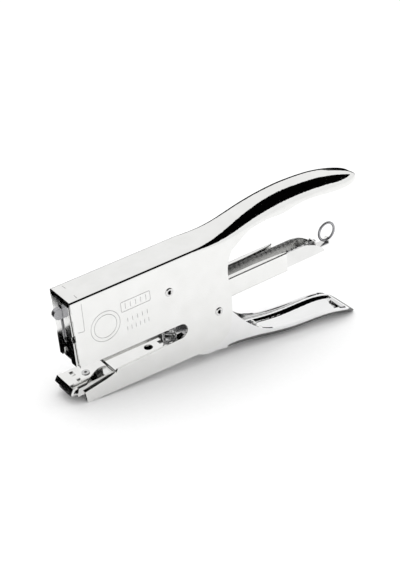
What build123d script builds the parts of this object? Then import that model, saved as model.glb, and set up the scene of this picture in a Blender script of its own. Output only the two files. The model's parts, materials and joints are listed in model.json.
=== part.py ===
from build123d import *
import os
from math import atan2, cos, degrees, hypot, radians, sin

os.makedirs("parts", exist_ok=True)

# ---------------------------------------------------------------- sizes, mm
# Everything is measured from the top front corner of the body: x runs back
# along the flat top, z runs up from it and y runs to the far side.

body_width = 20.0
body_sheet = 1.2
body_front = 0.3
body_depth = 39.3        # top down to the throat
throat_end = 66.6
throat_top = 40.6
throat_floor = 49.4
arm_bottom_front = 61.8
arm_bottom_rear = 64.7
arm_foot = 2.2
body_rear = 96.1
handle_start = 72.0
upper_tip = 190.5
lower_tip = 184.5
lower_tip_drop = 88.5

rivet_radius = 1.8
rivet_head = 2.4
rivet_head_height = 0.5
rivet_bore = 1.0
upper_rivet = (57.4, -18.0)
lower_rivet = (87.2, -43.3)

lever_sheet = 1.0
lever_swing = 22.5       # degrees between open and closed
lever_web_top = 5.5
nose_width = 3.0
nose_height = 6.0
nose_reach = 5.0

magazine_width = 14.8
magazine_sheet = 0.7
magazine_bend = 1.0      # outside radius of its folded corners
magazine_top = 28.1
magazine_floor = 40.0
magazine_front = 1.6
magazine_end = 136.5
lip_slot = 8.8           # between the two lips

staple_width = 13.0      # the 24 series of staples
staple_wire = 0.7
rail_sheet = 0.6
rail_top = 29.8
rail_end = 164.6
rod_radius = 0.9
rod_depth = 34.3

ring_radius = 5.4
ring_wire = 1.5

# Clearances.
side_gap = 0.2           # sheet sliding past sheet
hinge_gap = 0.08         # radial, hole round a rivet
nested_gap = 0.03        # pieces spot welded inside one another
slide_gap = 0.3          # rail over the magazine floor
rod_gap = 0.1            # radial, follower on the rod

half_width = body_width / 2
half_inside = half_width - body_sheet
lever_half = half_inside - side_gap
lever_inside = lever_half - lever_sheet
magazine_half = magazine_width / 2
magazine_inside = magazine_half - magazine_sheet
rail_half = staple_width / 2 - staple_wire - side_gap
rivet_hole = rivet_radius + nested_gap
hinge_hole = rivet_radius + hinge_gap

# The stapler stands on the front of its lower arms and on the lower handle
# tip, so the whole body leans nose down by this angle.
lean = atan2(lower_tip_drop - arm_bottom_front, lower_tip - arm_foot)
standing_height = arm_bottom_front * cos(lean) - arm_foot * sin(lean)
middle_setback = 95.89   # from the top front corner back to the middle

rear_way = Vector(cos(lean), 0, sin(lean))
up_way = Vector(-sin(lean), 0, cos(lean))
corner = Vector(-middle_setback, 0, standing_height)
side = Plane(origin=corner, x_dir=rear_way, z_dir=(0, -1, 0))
top = Plane(origin=corner, x_dir=rear_way, z_dir=up_way)
front = Plane(origin=corner, x_dir=(0, 1, 0), z_dir=rear_way)


def arch(station, half, crown, rim, corner_radius):
    """Section of the upper handle: flat rim below, rounded shoulders above."""
    shoulder = crown - corner_radius
    slant = corner_radius * (1 - cos(radians(45)))
    with BuildSketch(front.offset(station)) as section:
        with BuildLine():
            right = Line((half, rim), (half, shoulder))
            ThreePointArc(right @ 1, (half - slant, crown - slant), (half - corner_radius, crown))
            Line((half - corner_radius, crown), (-half + corner_radius, crown))
            ThreePointArc((-half + corner_radius, crown), (-half + slant, crown - slant), (-half, shoulder))
            Line((-half, shoulder), (-half, rim))
            Line((-half, rim), right @ 0)
        make_face()
    return section.sketch


def gutter(station, half, rim, floor, run, rise):
    """Section of the lower handle: open rim above, corners that curve into the floor."""
    with BuildSketch(front.offset(station)) as section:
        with BuildLine():
            left = Line((-half, rim), (-half, floor + rise))
            Bezier(left @ 1, (-half, floor), (-half + run, floor))
            Line((-half + run, floor), (half - run, floor))
            Bezier((half - run, floor), (half, floor), (half, floor + rise))
            Line((half, floor + rise), (half, rim))
            Line((half, rim), left @ 0)
        make_face()
    return section.sketch


# ------------------------------------------------------------- body shell
cheek_top = 6.0          # side plates start this far under the top
handle_rise = (handle_start + 98.0) / 2

with BuildPart() as body_shell:
    # Side silhouette of the plates: upper part, throat, lower arm, rear edge.
    with BuildSketch(side):
        with BuildLine():
            Line((body_front, -cheek_top), (1.0, -body_depth))
            Line((1.0, -body_depth), (62.2, -throat_top))
            ThreePointArc((62.2, -throat_top), (throat_end, -45.0), (62.2, -throat_floor))
            Line((62.2, -throat_floor), (21.8, -50.0))
            Line((21.8, -50.0), (20.6, -51.9))
            Line((20.6, -51.9), (1.4, -54.9))
            Line((1.4, -54.9), (arm_foot, -arm_bottom_front))
            Line((arm_foot, -arm_bottom_front), (82.0, -arm_bottom_rear))
            ThreePointArc((82.0, -arm_bottom_rear), (90.8, -61.4), (94.7, -54.0))
            ThreePointArc((94.7, -54.0), (body_rear, -42.0), (95.0, -27.0))
            ThreePointArc((95.0, -27.0), (95.3, -17.0), (98.0, -10.0))
            Line((98.0, -10.0), (97.0, -cheek_top))
            Line((97.0, -cheek_top), (body_front, -cheek_top))
        make_face()
    extrude(amount=half_width, both=True)
    # Folded top with its two tight bends.
    extrude(arch(body_front, half_width, 0.0, -cheek_top, 1.6), amount=handle_start - body_front)
    # The top rises and rounds over into the upper handle, drawn tip first.
    loft(
        [
            arch(upper_tip, 3.0, -0.3, -2.8, 1.8),
            arch(187.0, 5.4, 2.2, -2.8, 3.8),
            arch(180.0, 7.9, 5.1, -2.4, 6.2),
            arch(171.0, 9.3, 7.7, -1.4, 8.0),
            arch(158.0, 9.9, 9.9, 0.6, 9.0),
            arch(142.0, half_width, 10.8, 0.8, 9.5),
            arch(126.0, half_width, 9.6, -0.4, 9.3),
            arch(111.0, half_width, 6.4, -1.8, 8.0),
            arch(98.0, half_width, 2.6, -9.8, 6.0),
            arch(handle_rise, half_width, 0.3, -12.5, 3.2),
            arch(handle_start, half_width, 0.0, -13.0, 1.6),
        ]
    )
    # Inside of the handle and of the rear of the body, closed at the tip.
    loft(
        [
            arch(handle_start, half_inside, -body_sheet, -80.0, 0.6),
            arch(handle_rise, half_inside, 0.3 - body_sheet, -80.0, 2.0),
            arch(98.0, half_inside, 2.6 - body_sheet, -80.0, 4.8),
            arch(111.0, half_inside, 6.4 - body_sheet, -50.0, 6.8),
            arch(126.0, half_inside, 9.6 - body_sheet, -20.0, 8.1),
            arch(142.0, half_inside, 10.8 - body_sheet, -8.0, 8.3),
            arch(158.0, 9.9 - body_sheet, 9.9 - body_sheet, -6.0, 7.8),
            arch(171.0, 9.3 - body_sheet, 7.7 - body_sheet, -6.0, 6.8),
            arch(180.0, 7.9 - body_sheet, 5.1 - body_sheet, -6.0, 5.0),
            arch(186.0, 5.6 - body_sheet, 2.7 - body_sheet, -6.5, 2.6),
        ],
        mode=Mode.SUBTRACT,
    )
    # Inside of the front of the body.
    extrude(
        arch(handle_start, half_inside, -body_sheet, -80.0, 0.6),
        amount=-handle_start - 8.0,
        mode=Mode.SUBTRACT,
    )
    # Rivet holes.
    with BuildSketch(side):
        with Locations(upper_rivet, lower_rivet):
            Circle(rivet_hole)
    extrude(amount=half_width + 1, both=True, mode=Mode.SUBTRACT)
body_shell.part.label = "body_shell"
export_step(body_shell.part, "parts/body_shell.step")


# ------------------------------------------------------------ arm channel
channel_half = half_inside - nested_gap
channel_floor = 55.5     # top face of the channel floor
deck_height = 53.3       # top face of the deck
deck_start = 22.5
deck_end = 56.0
spring_x = 60.6
tab_x = 70.0
tab_z = -60.5

with BuildPart() as arm_channel:
    with BuildSketch(side):
        with BuildLine():
            Polyline(
                (-2.6, -channel_floor - 1),
                (-1.2, -51.9),
                (20.0, -51.5),
                (deck_start - 0.9, -deck_height - 1),
                (65.4, -deck_height - 1),
                (65.4, -channel_floor - 1),
                (-2.6, -channel_floor - 1),
            )
        make_face()
    extrude(amount=channel_half, both=True)
    with BuildSketch(side):
        with Locations((30.0, -channel_floor + 5.0)):
            Rectangle(80.0, 10.0)
    extrude(amount=channel_half - 1, both=True, mode=Mode.SUBTRACT)
    # Tongue under the anvil and the tab for the lever spring at the rear.
    with BuildSketch(top.offset(-channel_floor - 1)):
        with Locations((-3.4, 0)):
            RectangleRounded(3.6, 13.0, 1.2)
    extrude(amount=1)
    with BuildSketch(top.offset(-channel_floor - 1)):
        with Locations((67.6, 0)):
            Rectangle(4.8, 5.0)
    extrude(amount=1)
    with BuildSketch(front.offset(tab_x - 1)):
        with Locations((0, tab_z + 1.2)):
            Rectangle(5.0, 6.6)
        with Locations((0, tab_z)):
            Circle(0.9, mode=Mode.SUBTRACT)
    extrude(amount=1)
    # Hole for the anvil rivet, lanced triangle and the spring stud.
    with BuildSketch(top.offset(-channel_floor)):
        with Locations((8.2, 0), (spring_x, 0)):
            Circle(1.4 + nested_gap)
        with Locations((16.4, -3.8)):
            RegularPolygon(radius=2.0, side_count=3)
    extrude(amount=2, both=True, mode=Mode.SUBTRACT)
arm_channel.part.label = "arm_channel"
export_step(arm_channel.part, "parts/arm_channel.step")


# ------------------------------------------------------------- deck plate
with BuildPart() as deck_plate:
    with BuildSketch(top.offset(-deck_height)):
        with Locations(((deck_start + deck_end) / 2, 0)):
            Rectangle(deck_end - deck_start, 2 * channel_half)
        with Locations((47.0, 0)):
            Circle(2.4, mode=Mode.SUBTRACT)
        with Locations((deck_end, 0)):
            Rectangle(5.0, 3.0, mode=Mode.SUBTRACT)
    extrude(amount=-(1 - nested_gap))
    # Front edge turned down inside the channel.
    with BuildSketch(side):
        with Locations((deck_start + 0.5, -deck_height - 0.9)):
            Rectangle(1.0, 1.8)
    extrude(amount=channel_half - 1 - nested_gap, both=True)
deck_plate.part.label = "deck_plate"
export_step(deck_plate.part, "parts/deck_plate.step")


# ------------------------------------------------------------ anvil plate
anvil_top = 51.0
anvil_half = channel_half - 1 - nested_gap
pocket_width = 2.2
pocket_radius = 3.2
blade_line = 2.3         # where the staple legs meet the anvil

with BuildPart() as anvil_plate:
    with BuildSketch(top.offset(-anvil_top)):
        with BuildLine():
            Line((-4.2, -8.3), (-1.9, -8.3))
            Line((-1.9, -8.3), (-1.9, -anvil_half))
            Line((-1.9, -anvil_half), (4.0, -anvil_half))
            Spline(
                (4.0, -anvil_half),
                (10.6, -3.4),
                (15.0, -1.2),
                (19.6, -2.0),
                tangents=((0.8, 0.6), (0.6, -0.8)),
            )
            Line((19.6, -2.0), (19.6, anvil_half))
            Line((19.6, anvil_half), (-1.9, anvil_half))
            Line((-1.9, anvil_half), (-1.9, 8.3))
            Line((-1.9, 8.3), (-4.2, 8.3))
            Line((-4.2, 8.3), (-4.2, -8.3))
        make_face()
    extrude(amount=-1.2)
    # Front lip turned down over the end of the arm.
    with BuildSketch(side):
        with BuildLine():
            Polyline(
                (-4.2, -anvil_top),
                (-6.0, -anvil_top - 2.9),
                (-4.9, -anvil_top - 3.5),
                (-3.0, -anvil_top - 1.2),
                (-4.2, -anvil_top),
            )
        make_face()
    extrude(amount=8.3, both=True)
    # Feet that stand the plate on the channel floor.
    with BuildSketch(top.offset(-channel_floor)):
        with Locations((8.2, 0)):
            Circle(3.0)
        with Locations((17.0, 4.0)):
            Rectangle(4.0, 5.0)
    extrude(amount=channel_floor - anvil_top - 1.1)
    # Two forming pockets curl the staple legs inward.
    with BuildSketch(front.offset(blade_line - pocket_width / 2)):
        for far in (-1, 1):
            with Locations((far * 3.7, -anvil_top + pocket_radius - 0.8)):
                Circle(pocket_radius)
    extrude(amount=pocket_width, mode=Mode.SUBTRACT)
    # Rivet hole with its countersink.
    with BuildSketch(top.offset(-anvil_top)):
        with Locations((8.2, 0)):
            Circle(1.4 + nested_gap)
    extrude(amount=-8, mode=Mode.SUBTRACT)
anvil_plate.part.label = "anvil_plate"
export_step(anvil_plate.part, "parts/anvil_plate.step")

with BuildPart() as anvil_rivet:
    with BuildSketch(top.offset(-channel_floor - 1.6)):
        with Locations((8.2, 0)):
            Circle(2.2)
            Circle(0.8, mode=Mode.SUBTRACT)
    extrude(amount=0.6 - nested_gap)
    with BuildSketch(top.offset(-channel_floor - 1.6)):
        with Locations((8.2, 0)):
            Circle(1.4)
            Circle(0.8, mode=Mode.SUBTRACT)
    extrude(amount=channel_floor + 1.6 - anvil_top + 0.4)
    with BuildSketch(top.offset(-anvil_top + nested_gap)):
        with Locations((8.2, 0)):
            Circle(2.2)
            Circle(0.8, mode=Mode.SUBTRACT)
    extrude(amount=0.4)
anvil_rivet.part.label = "anvil_rivet"
export_step(anvil_rivet.part, "parts/anvil_rivet.step")


# ---------------------------------------------- rivets through the body
with BuildPart() as pivot_rivets:
    # Two hollow rivets, their flared heads just proud of the side plates.
    with BuildSketch(side):
        with Locations(upper_rivet, lower_rivet):
            Circle(rivet_radius)
            Circle(rivet_bore, mode=Mode.SUBTRACT)
    extrude(amount=half_width + 0.2, both=True)
    with BuildSketch(side.offset(half_width + nested_gap)):
        with Locations(upper_rivet, lower_rivet):
            Circle(rivet_head)
            Circle(rivet_bore, mode=Mode.SUBTRACT)
    extrude(amount=rivet_head_height)
    with BuildSketch(side.offset(-half_width - nested_gap)):
        with Locations(upper_rivet, lower_rivet):
            Circle(rivet_head)
            Circle(rivet_bore, mode=Mode.SUBTRACT)
    extrude(amount=-rivet_head_height)
    chamfer(edges().filter_by(GeomType.CIRCLE).group_by(Axis.Y)[-1], 0.3)
    chamfer(edges().filter_by(GeomType.CIRCLE).group_by(Axis.Y)[0], 0.3)
pivot_rivets.part.label = "pivot_rivets"
export_step(pivot_rivets.part, "parts/pivot_rivets.step")


# ----------------------------------------------------- magazine spring
coil_radius = 3.6
coil_wire = 0.9

with BuildPart() as spring_seat:
    with BuildSketch(top.offset(-channel_floor - 1.4)):
        with Locations((spring_x, 0)):
            Circle(1.4)
    extrude(amount=1.5)
    with BuildSketch(top.offset(-channel_floor)):
        with Locations((spring_x, 0)):
            Circle(2.6)
    extrude(amount=1.4)
    fillet(edges().filter_by(GeomType.CIRCLE).group_by(Axis.Z)[-1], 0.6)
spring_seat.part.label = "spring_seat"
export_step(spring_seat.part, "parts/spring_seat.step")

coil_low = -channel_floor + coil_wire / 2 + nested_gap
coil_high = -magazine_floor - coil_wire / 2 - nested_gap

with BuildPart() as magazine_spring:
    with BuildLine() as path:
        Helix(
            pitch=(coil_high - coil_low) / 5.5,
            height=coil_high - coil_low,
            radius=coil_radius,
            center=top.from_local_coords((spring_x, 0, coil_low)),
            direction=up_way,
        )
    with BuildSketch(Plane(origin=path.line @ 0, z_dir=path.line % 0)):
        Circle(coil_wire / 2)
    sweep(is_frenet=True)
magazine_spring.part.label = "magazine_spring"
export_step(magazine_spring.part, "parts/magazine_spring.step")


# -------------------------------------------------------------- the lever
wall_end = 92.0
anchor_x = 116.0
anchor_z = -70.0

with BuildPart() as lever_handle:
    # Walls inside the body: front arm, pivot, and the part that runs down.
    with BuildSketch(side):
        with BuildLine():
            Line((16.0, -lever_web_top), (62.0, -lever_web_top))
            ThreePointArc((62.0, -lever_web_top), (74.0, -11.0), (83.0, -24.0))
            Line((83.0, -24.0), (wall_end, -42.0))
            Line((wall_end, -42.0), (wall_end, -70.0))
            Line((wall_end, -70.0), (84.0, -68.2))
            ThreePointArc((84.0, -68.2), (72.0, -64.8), (67.2, -56.0))
            Line((67.2, -56.0), (67.2, -38.0))
            ThreePointArc((67.2, -38.0), (65.0, -29.5), (57.0, -26.0))
            Line((57.0, -26.0), (40.0, -21.0))
            Line((40.0, -21.0), (16.0, -15.0))
            Line((16.0, -15.0), (16.0, -lever_web_top))
        make_face()
    extrude(amount=lever_half, both=True)
    # Lower handle outside the body.
    loft(
        [
            gutter(wall_end, lever_half, -42.0, -70.0, 1.5, 1.5),
            gutter(99.0, 8.8, -51.2, -71.9, 4.0, 4.0),
            gutter(106.0, 9.2, -59.6, -73.5, 6.0, 5.0),
            gutter(113.0, 9.6, -65.6, -75.1, 7.4, 5.6),
            gutter(121.0, 9.9, -69.8, -76.9, 8.2, 5.6),
            gutter(136.0, 10.2, -73.2, -79.7, 8.6, 5.2),
            gutter(152.0, 10.3, -75.2, -80.9, 8.7, 4.7),
            gutter(163.0, 10.6, -76.4, -82.0, 8.8, 4.6),
            gutter(171.0, 10.8, -78.2, -83.7, 8.8, 4.4),
            gutter(177.0, 10.3, -80.9, -85.7, 8.0, 3.8),
            gutter(182.0, 8.6, -84.7, -87.6, 6.4, 2.2),
            gutter(lower_tip, 6.6, -87.2, -lower_tip_drop, 4.6, 0.9),
        ]
    )
    # Space between the walls: closed above by the web, open behind the pivot.
    with BuildSketch(side):
        with BuildLine():
            Polyline(
                (15.0, -lever_web_top - lever_sheet),
                (58.0, -lever_web_top - lever_sheet),
                (58.0, 0.0),
                (wall_end + 0.5, 0.0),
                (wall_end + 0.5, -68.9),
                (84.0, -67.1),
                (80.0, -66.2),
                (80.0, -72.0),
                (15.0, -72.0),
                (15.0, -lever_web_top - lever_sheet),
            )
        make_face()
    extrude(amount=lever_inside, both=True, mode=Mode.SUBTRACT)
    loft(
        [
            gutter(wall_end, lever_inside, -30.0, -68.9, 0.6, 0.6),
            gutter(99.0, 7.8, -45.0, -70.8, 3.2, 3.2),
            gutter(106.0, 8.2, -53.0, -72.4, 5.2, 4.4),
            gutter(113.0, 8.5, -60.0, -74.0, 6.6, 5.2),
            gutter(121.0, 8.8, -65.0, -75.8, 7.3, 5.3),
            gutter(136.0, 9.1, -69.0, -78.6, 7.7, 5.0),
            gutter(152.0, 9.2, -71.0, -79.8, 7.8, 4.6),
            gutter(163.0, 9.5, -72.0, -80.8, 7.9, 4.5),
            gutter(171.0, 9.6, -74.0, -82.2, 7.8, 4.3),
            gutter(177.0, 8.8, -76.0, -83.4, 6.8, 3.6),
        ],
        mode=Mode.SUBTRACT,
    )
    # Pivot hole, and the arc slot that clears the magazine rivet.
    slot_radius = hypot(lower_rivet[0] - upper_rivet[0], lower_rivet[1] - upper_rivet[1])
    slot_start = degrees(atan2(lower_rivet[1] - upper_rivet[1], lower_rivet[0] - upper_rivet[0]))
    with BuildSketch(side):
        with Locations(upper_rivet):
            Circle(hinge_hole)
        with BuildLine():
            reach = rivet_radius + slide_gap
            first = radians(slot_start - lever_swing)
            last = radians(slot_start)
            cap = reach / slot_radius
            outer = CenterArc(upper_rivet, slot_radius + reach, degrees(first), lever_swing)
            inner = CenterArc(upper_rivet, slot_radius - reach, degrees(first), lever_swing)
            ThreePointArc(
                inner @ 0,
                (
                    upper_rivet[0] + slot_radius * cos(first - cap),
                    upper_rivet[1] + slot_radius * sin(first - cap),
                ),
                outer @ 0,
            )
            ThreePointArc(
                inner @ 1,
                (
                    upper_rivet[0] + slot_radius * cos(last + cap),
                    upper_rivet[1] + slot_radius * sin(last + cap),
                ),
                outer @ 1,
            )
        make_face()
    extrude(amount=half_width, both=True, mode=Mode.SUBTRACT)
lever_handle.part.label = "lever_handle"
export_step(lever_handle.part, "parts/lever_handle.step")

# Bar under the web; its rounded end sticks out of the front slot.
nose_top = -lever_web_top - lever_sheet

with BuildPart() as lever_nose:
    with BuildSketch(side):
        with BuildLine():
            Line((30.0, nose_top), (-nose_reach + 2.4, nose_top))
            ThreePointArc(
                (-nose_reach + 2.4, nose_top),
                (-nose_reach, nose_top - nose_height / 2),
                (-nose_reach + 2.4, nose_top - nose_height),
            )
            Line((-nose_reach + 2.4, nose_top - nose_height), (22.0, nose_top - nose_height))
            Line((22.0, nose_top - nose_height), (30.0, nose_top))
        make_face()
    extrude(amount=nose_width / 2, both=True)
lever_nose.part.label = "lever_nose"
export_step(lever_nose.part, "parts/lever_nose.step")

with BuildPart() as spring_anchor:
    with BuildSketch(side):
        with BuildLine():
            Polyline(
                (anchor_x, -75.2),
                (anchor_x, anchor_z + 1.8),
                (anchor_x + 1, anchor_z + 1.8),
                (anchor_x + 1, -74.4),
                (anchor_x + 7, -75.2),
                (anchor_x + 7, -75.9),
                (anchor_x, -74.5),
            )
        make_face()
    extrude(amount=2.4, both=True)
    with BuildSketch(front.offset(anchor_x - 1)):
        with Locations((0, anchor_z)):
            Circle(0.9)
    extrude(amount=3, mode=Mode.SUBTRACT)
spring_anchor.part.label = "spring_anchor"
export_step(spring_anchor.part, "parts/spring_anchor.step")

pull_wire = 0.7
pull_radius = 2.2
pull_length = hypot(anchor_x - tab_x, anchor_z - tab_z)
pull_way = (rear_way * (anchor_x - tab_x) + up_way * (anchor_z - tab_z)).normalized()
pull_start = top.from_local_coords((tab_x, 0, tab_z))
hook_length = 3.2

with BuildPart() as lever_spring:
    with BuildLine() as path:
        Helix(
            pitch=1.15,
            height=pull_length - 2 * hook_length,
            radius=pull_radius,
            center=pull_start + pull_way * hook_length,
            direction=pull_way,
        )
    with BuildSketch(Plane(origin=path.line @ 0, z_dir=path.line % 0)):
        Circle(pull_wire / 2)
    sweep(is_frenet=True)
lever_spring.part.label = "lever_spring"
export_step(lever_spring.part, "parts/lever_spring.step")


# ----------------------------------------------------------- the magazine
ear_radius = 4.4

with BuildPart() as magazine_channel:
    with BuildSketch(front.offset(magazine_front)):
        with Locations((0, -(magazine_top + magazine_floor) / 2)):
            RectangleRounded(magazine_width, magazine_floor - magazine_top, magazine_bend)
            RectangleRounded(
                magazine_width - 2 * magazine_sheet,
                magazine_floor - magazine_top - 2 * magazine_sheet,
                magazine_bend - magazine_sheet,
                mode=Mode.SUBTRACT,
            )
        with Locations((0, -magazine_top)):
            Rectangle(lip_slot, 4 * magazine_sheet, mode=Mode.SUBTRACT)
    extrude(amount=magazine_end - magazine_front)
    # Ears that hang down to the rivet.
    with BuildSketch(side):
        with Locations(lower_rivet):
            Circle(ear_radius)
        with Locations((lower_rivet[0], -39.0)):
            Rectangle(2 * ear_radius, 6.0)
    extrude(amount=magazine_half, both=True)
    with BuildSketch(side):
        with Locations((lower_rivet[0], -magazine_floor - 4)):
            Rectangle(12.0, 8.0)
        with Locations((lower_rivet[0], -35.0)):
            Rectangle(12.0, 2 * (magazine_floor - magazine_sheet - 35.0))
    extrude(amount=magazine_inside, both=True, mode=Mode.SUBTRACT)
    with BuildSketch(side):
        with Locations(lower_rivet):
            Circle(hinge_hole)
    extrude(amount=half_width, both=True, mode=Mode.SUBTRACT)
    # The lips run out towards the loading end.
    with BuildSketch(top.offset(-magazine_top - magazine_sheet)):
        with BuildLine():
            Line((114.0, -lip_slot / 2), (114.0, lip_slot / 2))
            Spline(
                (114.0, lip_slot / 2),
                (126.0, 5.0),
                (magazine_end + 1, magazine_inside),
                tangents=((1, 0), (1, 0.4)),
            )
            Line((magazine_end + 1, magazine_inside), (magazine_end + 1, -magazine_inside))
            Spline(
                (114.0, -lip_slot / 2),
                (126.0, -5.0),
                (magazine_end + 1, -magazine_inside),
                tangents=((1, 0), (1, -0.4)),
            )
        make_face()
    extrude(amount=2 * magazine_sheet, mode=Mode.SUBTRACT)
magazine_channel.part.label = "magazine_channel"
export_step(magazine_channel.part, "parts/magazine_channel.step")

# Slotted plate across the front, with cheeks welded outside the magazine.
guide_half = magazine_half + nested_gap + 0.8
guide_back = 0.5
slot_half = nose_width / 2 + slide_gap
slot_low = 26.2          # lowest point of the bar when the handles are closed

with BuildPart() as front_guide:
    with BuildSketch(front.offset(guide_back - 0.8)):
        with BuildLine():
            Polyline(
                (-guide_half, -3.0),
                (guide_half, -3.0),
                (guide_half, -20.4),
                (guide_half - 1.0, -21.6),
                (guide_half - 1.0, -23.0),
                (guide_half, -24.4),
                (guide_half, -38.2),
                (5.4, -38.2),
                (4.4, -36.6),
                (3.4, -36.6),
                (2.8, -32.6),
                (0, -30.0),
                (-2.8, -32.6),
                (-3.4, -39.0),
                (-guide_half, -39.0),
                (-guide_half, -24.4),
                (-guide_half + 1.0, -23.0),
                (-guide_half + 1.0, -21.6),
                (-guide_half, -20.4),
                (-guide_half, -3.0),
            )
        make_face()
        with BuildLine():
            Polyline(
                (-slot_half, -5.0),
                (slot_half, -5.0),
                (slot_half, -slot_low),
                (0, -slot_low - 1.6),
                (-slot_half, -slot_low),
                (-slot_half, -5.0),
            )
        make_face(mode=Mode.SUBTRACT)
    extrude(amount=0.8)
    with BuildSketch(side):
        with Locations((6.9, -33.6)):
            Rectangle(12.8, 8.8)
    extrude(amount=guide_half, both=True)
    with BuildSketch(side):
        with Locations((guide_back + 8.0, -33.6)):
            Rectangle(16.0, 10.0)
    extrude(amount=magazine_half + nested_gap, both=True, mode=Mode.SUBTRACT)
front_guide.part.label = "front_guide"
export_step(front_guide.part, "parts/front_guide.step")

blade_thickness = 0.6
blade_window = nose_height + 1.4
blade_top = 3.4
blade_bottom = magazine_top - 0.5

with BuildPart() as driver_blade:
    with BuildSketch(front.offset(guide_back + 0.25)):
        with Locations((0, -(blade_top + blade_bottom) / 2)):
            Rectangle(staple_width - 0.4, blade_bottom - blade_top)
        with Locations((0, nose_top - nose_height / 2)):
            Rectangle(nose_width + 2 * slide_gap, blade_window, mode=Mode.SUBTRACT)
    extrude(amount=blade_thickness)
driver_blade.part.label = "driver_blade"
export_step(driver_blade.part, "parts/driver_blade.step")


# --------------------------------------------------------------- the rail
rail_bottom = magazine_floor - magazine_sheet - slide_gap
anchor_back = 160.0
eye_x = 170.8
eye_z = -36.7

with BuildPart() as staple_rail:
    # Side outline: straight, with the end of the walls rounded down.
    with BuildSketch(side):
        with BuildLine():
            Line((magazine_front + 0.2, -rail_bottom), (magazine_front + 0.2, -rail_top))
            Line((magazine_front + 0.2, -rail_top), (148.0, -rail_top))
            ThreePointArc((148.0, -rail_top), (157.6, -32.6), (rail_end, -38.0))
            Line((rail_end, -38.0), (rail_end, -rail_bottom))
            Line((rail_end, -rail_bottom), (magazine_front + 0.2, -rail_bottom))
        make_face()
    extrude(amount=rail_half, both=True)
    with BuildSketch(front.offset(magazine_front + 0.8)):
        with Locations((0, -rail_bottom + rail_sheet + 10)):
            Rectangle(2 * (rail_half - rail_sheet), 20.0)
    extrude(amount=rail_end, mode=Mode.SUBTRACT)
    # Hole in the front end for the rod.
    with BuildSketch(front.offset(magazine_front)):
        with Locations((0, -rod_depth)):
            Circle(rod_radius + nested_gap)
    extrude(amount=2, mode=Mode.SUBTRACT)
staple_rail.part.label = "staple_rail"
export_step(staple_rail.part, "parts/staple_rail.step")

with BuildPart() as rod_anchor:
    # Foot on the rail floor, upright for the rod, tail with the ring eye.
    with BuildSketch(side):
        with Locations(((154.0 + eye_x) / 2, -rail_bottom + rail_sheet + 0.4)):
            Rectangle(eye_x - 154.0, 0.8)
    extrude(amount=2.6, both=True)
    with BuildSketch(front.offset(anchor_back)):
        with Locations((0, (-rail_bottom + rail_sheet - 32.6) / 2)):
            Rectangle(5.2, rail_bottom - rail_sheet - 32.6)
        with Locations((0, -rod_depth)):
            Circle(rod_radius + nested_gap, mode=Mode.SUBTRACT)
    extrude(amount=0.8)
    with BuildSketch(front.offset(eye_x - 0.4)):
        with Locations((0, eye_z)):
            Circle(2.2)
        with Locations((0, eye_z - 1.0)):
            Rectangle(3.6, 2.0)
        with Locations((0, eye_z)):
            Circle(ring_wire / 2 + slide_gap, mode=Mode.SUBTRACT)
    extrude(amount=0.8)
rod_anchor.part.label = "rod_anchor"
export_step(rod_anchor.part, "parts/rod_anchor.step")

with BuildPart() as guide_rod:
    with BuildSketch(front.offset(magazine_front + 0.3)):
        with Locations((0, -rod_depth)):
            Circle(rod_radius)
    extrude(amount=anchor_back + 1.6 - magazine_front)
    with BuildSketch(front.offset(anchor_back + 0.8 + nested_gap)):
        with Locations((0, -rod_depth)):
            Circle(1.5)
    extrude(amount=1.1)
guide_rod.part.label = "guide_rod"
export_step(guide_rod.part, "parts/guide_rod.step")

follower_front = 2.8
follower_length = 14.0
follower_top = magazine_top + magazine_sheet + 0.2

with BuildPart() as follower:
    # Block between the rail walls, cap over them, cheeks outside them.
    with BuildSketch(front.offset(follower_front)):
        with Locations((0, -(follower_top + rail_bottom - rail_sheet - 0.3) / 2)):
            Rectangle(2 * (rail_half - rail_sheet - 0.15), rail_bottom - rail_sheet - 0.3 - follower_top)
        with Locations((0, -(follower_top + rail_top - 0.1) / 2)):
            Rectangle(staple_width - 0.4, rail_top - 0.1 - follower_top)
        for far in (-1, 1):
            with Locations((far * (staple_width / 2 - 0.45), -(follower_top + 37.5) / 2)):
                Rectangle(0.5, 37.5 - follower_top)
        with Locations((0, -rod_depth)):
            Circle(rod_radius + rod_gap, mode=Mode.SUBTRACT)
    extrude(amount=follower_length)
follower.part.label = "follower"
export_step(follower.part, "parts/follower.step")

push_wire = 0.5
push_radius = 1.7
push_start = follower_front + follower_length + push_wire / 2 + nested_gap
push_end = anchor_back - push_wire / 2 - nested_gap

with BuildPart() as follower_spring:
    with BuildLine() as path:
        Helix(
            pitch=(push_end - push_start) / 34,
            height=push_end - push_start,
            radius=push_radius,
            center=top.from_local_coords((push_start, 0, -rod_depth)),
            direction=rear_way,
        )
    with BuildSketch(Plane(origin=path.line @ 0, z_dir=path.line % 0)):
        Circle(push_wire / 2)
    sweep(is_frenet=True)
follower_spring.part.label = "follower_spring"
export_step(follower_spring.part, "parts/follower_spring.step")

# Pull ring, standing up from the eye.
ring_x = eye_x
ring_z = eye_z + ring_radius

with BuildPart() as pull_ring:
    with BuildSketch(front.offset(ring_x)):
        with Locations((0, ring_z + ring_radius)):
            Circle(ring_wire / 2)
    revolve(axis=Axis(top.from_local_coords((ring_x, 0, ring_z)), (0, 1, 0)), revolution_arc=360)
pull_ring.part.label = "pull_ring"
export_step(pull_ring.part, "parts/pull_ring.step")
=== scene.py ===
# %% [markdown]
# # A chrome plier stapler
# The stapler arrives as a finished set of moving metal parts. This lesson gives those parts
# their plated finish, turns the coarse working meshes into clean ones, winds the three
# springs, presses the marks into the body and sets up a small product studio round it all.
# Every length is in metres, and every place is taken from the parts themselves.

# %% Load the parts
import bmesh
import bpy
import json
from math import cos, pi, radians, sin
from mathutils import Matrix, Vector


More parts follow.
